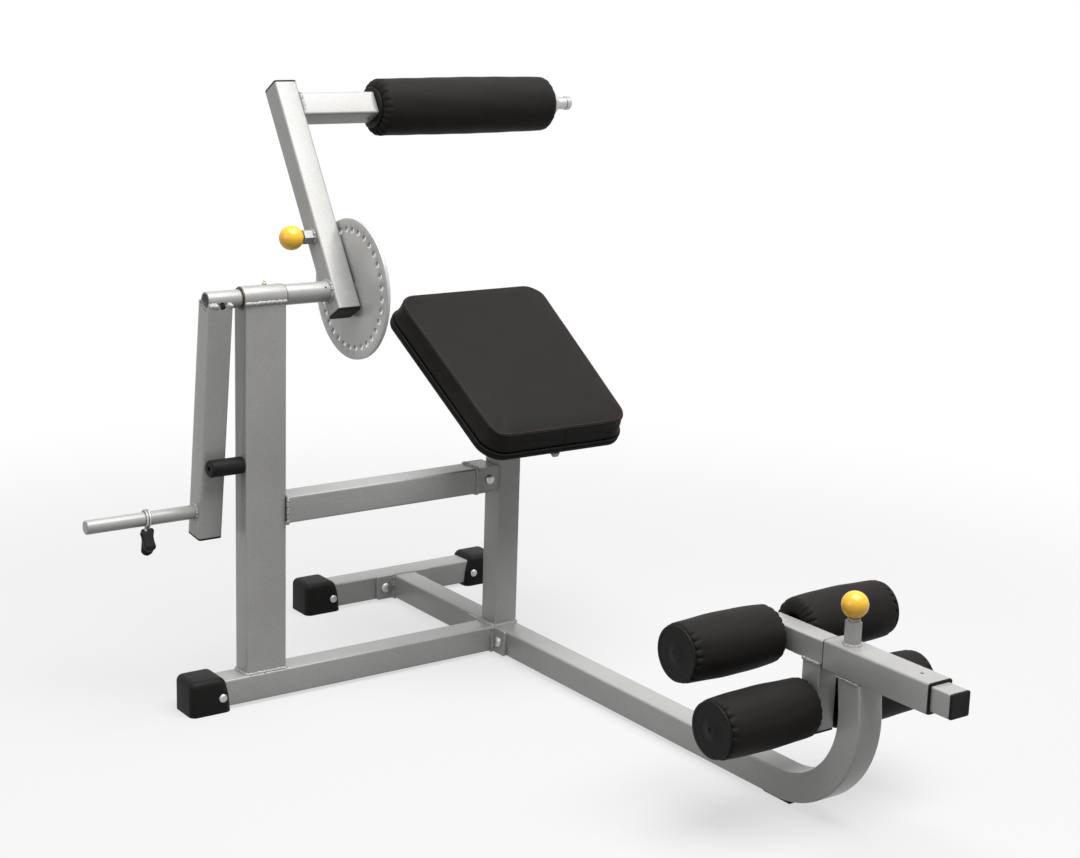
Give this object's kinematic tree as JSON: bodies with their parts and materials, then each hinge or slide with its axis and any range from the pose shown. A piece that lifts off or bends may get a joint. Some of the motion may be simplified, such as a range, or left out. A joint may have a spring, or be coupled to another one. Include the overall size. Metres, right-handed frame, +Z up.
{
  "type": "ab and back machine",
  "caption": "Plate-loaded ab and back machine: tilted seat, padded roller on a pinned arm and hole disc, weight lever with plate horn, and a sliding carriage of foot rollers.",
  "frame": {"origin": "bottom centre of the whole machine's bounding box, on the floor", "axes": "+Y toward the rear, along the long floor tube; +X to the left of someone on the seat who faces the foot rollers; +Z up"},
  "size_m": [1.109, 1.6159, 1.1027],
  "materials": {
    "silver_paint": "semi-gloss silver-grey powder coat",
    "bright_steel": "bright turned steel",
    "zinc_steel": "zinc-plated fasteners",
    "bronze": "plain sintered bronze",
    "black_rubber": "moulded black rubber",
    "black_plastic": "satin black moulded plastic",
    "black_vinyl": "black upholstery vinyl with a fine grain",
    "yellow_plastic": "glossy yellow moulded ball knob"
  },
  "bodies": {
    "frame": {"base_tube": "silver_paint", "base_bolt_front": "zinc_steel", "base_bolt_rear": "zinc_steel", "rear_stabilizer": "silver_paint", "rear_bolt_left": "zinc_steel", "rear_bolt_right": "zinc_steel", "long_tube": "silver_paint", "foot_front_left": "black_rubber", "foot_rear_left": "black_rubber", "foot_rear_right": "black_rubber", "bend_pad": "black_rubber", "main_upright": "silver_paint", "pivot_sleeve": "silver_paint", "pivot_bush_left": "bronze", "pivot_bush_right": "bronze", "bumper": "black_rubber", "brace_tube": "silver_paint", "brace_bracket": "silver_paint", "brace_plug": "black_plastic", "seat_post": "silver_paint", "seat_support": "silver_paint", "seat_board": "black_vinyl", "seat_pad": "black_vinyl", "carriage_sleeve": "silver_paint", "sleeve_liner_rear": "black_plastic", "sleeve_liner_front": "black_plastic"},
    "lever": {"pivot_shaft": "bright_steel", "weight_hub": "silver_paint", "weight_arm": "silver_paint", "weight_arm_plug": "black_plastic", "weight_horn": "silver_paint", "hole_disc": "silver_paint"},
    "collar": {"collar_spring": "bright_steel", "collar_grip_rear": "black_plastic", "collar_grip_front": "black_plastic"},
    "arm": {"upper_arm": "silver_paint", "arm_plug_top": "black_plastic", "arm_plug_bottom": "black_plastic", "arm_hub": "silver_paint", "cross_tube": "silver_paint", "chest_bar": "bright_steel"},
    "arm_pin": {"arm_pin_rod": "bright_steel", "arm_pin_knob": "yellow_plastic"},
    "chest_roller": {"chest_roller_foam": "black_vinyl", "chest_roller_core": "black_plastic"},
    "carriage_pin": {"carriage_pin_rod": "bright_steel", "carriage_pin_knob": "yellow_plastic"},
    "carriage": {"inner_tube": "silver_paint", "inner_plug": "black_plastic", "drop_tube": "silver_paint", "drop_plug": "black_plastic"},
    "foot_roller_upper_left": {"foot_roller_upper_left_foam": "black_vinyl", "foot_roller_upper_left_core": "black_plastic"},
    "foot_roller_upper_right": {"foot_roller_upper_right_foam": "black_vinyl", "foot_roller_upper_right_core": "black_plastic"},
    "foot_roller_lower_left": {"foot_roller_lower_left_foam": "black_vinyl", "foot_roller_lower_left_core": "black_plastic"},
    "foot_roller_lower_right": {"foot_roller_lower_right_foam": "black_vinyl", "foot_roller_lower_right_core": "black_plastic"}
  },
  "joints": [
    {"name": "lever_swing", "type": "hinge", "parent": "frame", "child": "lever", "pos_m": [-0.2395, 0.38735, 0.742], "axis": [1, 0, 0], "range_deg": [0, 75]},
    {"name": "collar_slide", "type": "slide", "parent": "lever", "child": "collar", "axis": [1, 0, 0], "range_m": [-0.1, 0.07]},
    {"name": "arm_adjust", "type": "hinge", "parent": "lever", "child": "arm", "pos_m": [-0.2395, 0.38735, 0.742], "axis": [1, 0, 0], "range_deg": [-33.75, 67.5]},
    {"name": "arm_pin_pull", "type": "slide", "parent": "arm", "child": "arm_pin", "axis": [-1, 0, 0], "range_m": [0, 0.012], "stiffness_N_per_m": 500, "springref_m": -0.006},
    {"name": "chest_roller_spin", "type": "hinge", "parent": "arm", "child": "chest_roller", "pos_m": [0.2845, 0.57945, 1.04705], "axis": [1, 0, 0], "continuous": true},
    {"name": "carriage_pin_pull", "type": "slide", "parent": "frame", "child": "carriage_pin", "axis": [0, 0, 1], "range_m": [0, 0.012], "stiffness_N_per_m": 500, "springref_m": -0.006},
    {"name": "carriage_slide", "type": "slide", "parent": "frame", "child": "carriage", "axis": [0, 1, 0], "range_m": [0, 0.16]},
    {"name": "upper_left_spin", "type": "hinge", "parent": "carriage", "child": "foot_roller_upper_left", "pos_m": [0.161, -0.41765, 0.28], "axis": [1, 0, 0], "continuous": true},
    {"name": "upper_right_spin", "type": "hinge", "parent": "carriage", "child": "foot_roller_upper_right", "pos_m": [0.408, -0.41765, 0.28], "axis": [1, 0, 0], "continuous": true},
    {"name": "lower_left_spin", "type": "hinge", "parent": "carriage", "child": "foot_roller_lower_left", "pos_m": [0.161, -0.50965, 0.184], "axis": [1, 0, 0], "continuous": true},
    {"name": "lower_right_spin", "type": "hinge", "parent": "carriage", "child": "foot_roller_lower_right", "pos_m": [0.408, -0.50965, 0.184], "axis": [1, 0, 0], "continuous": true}
  ]
}
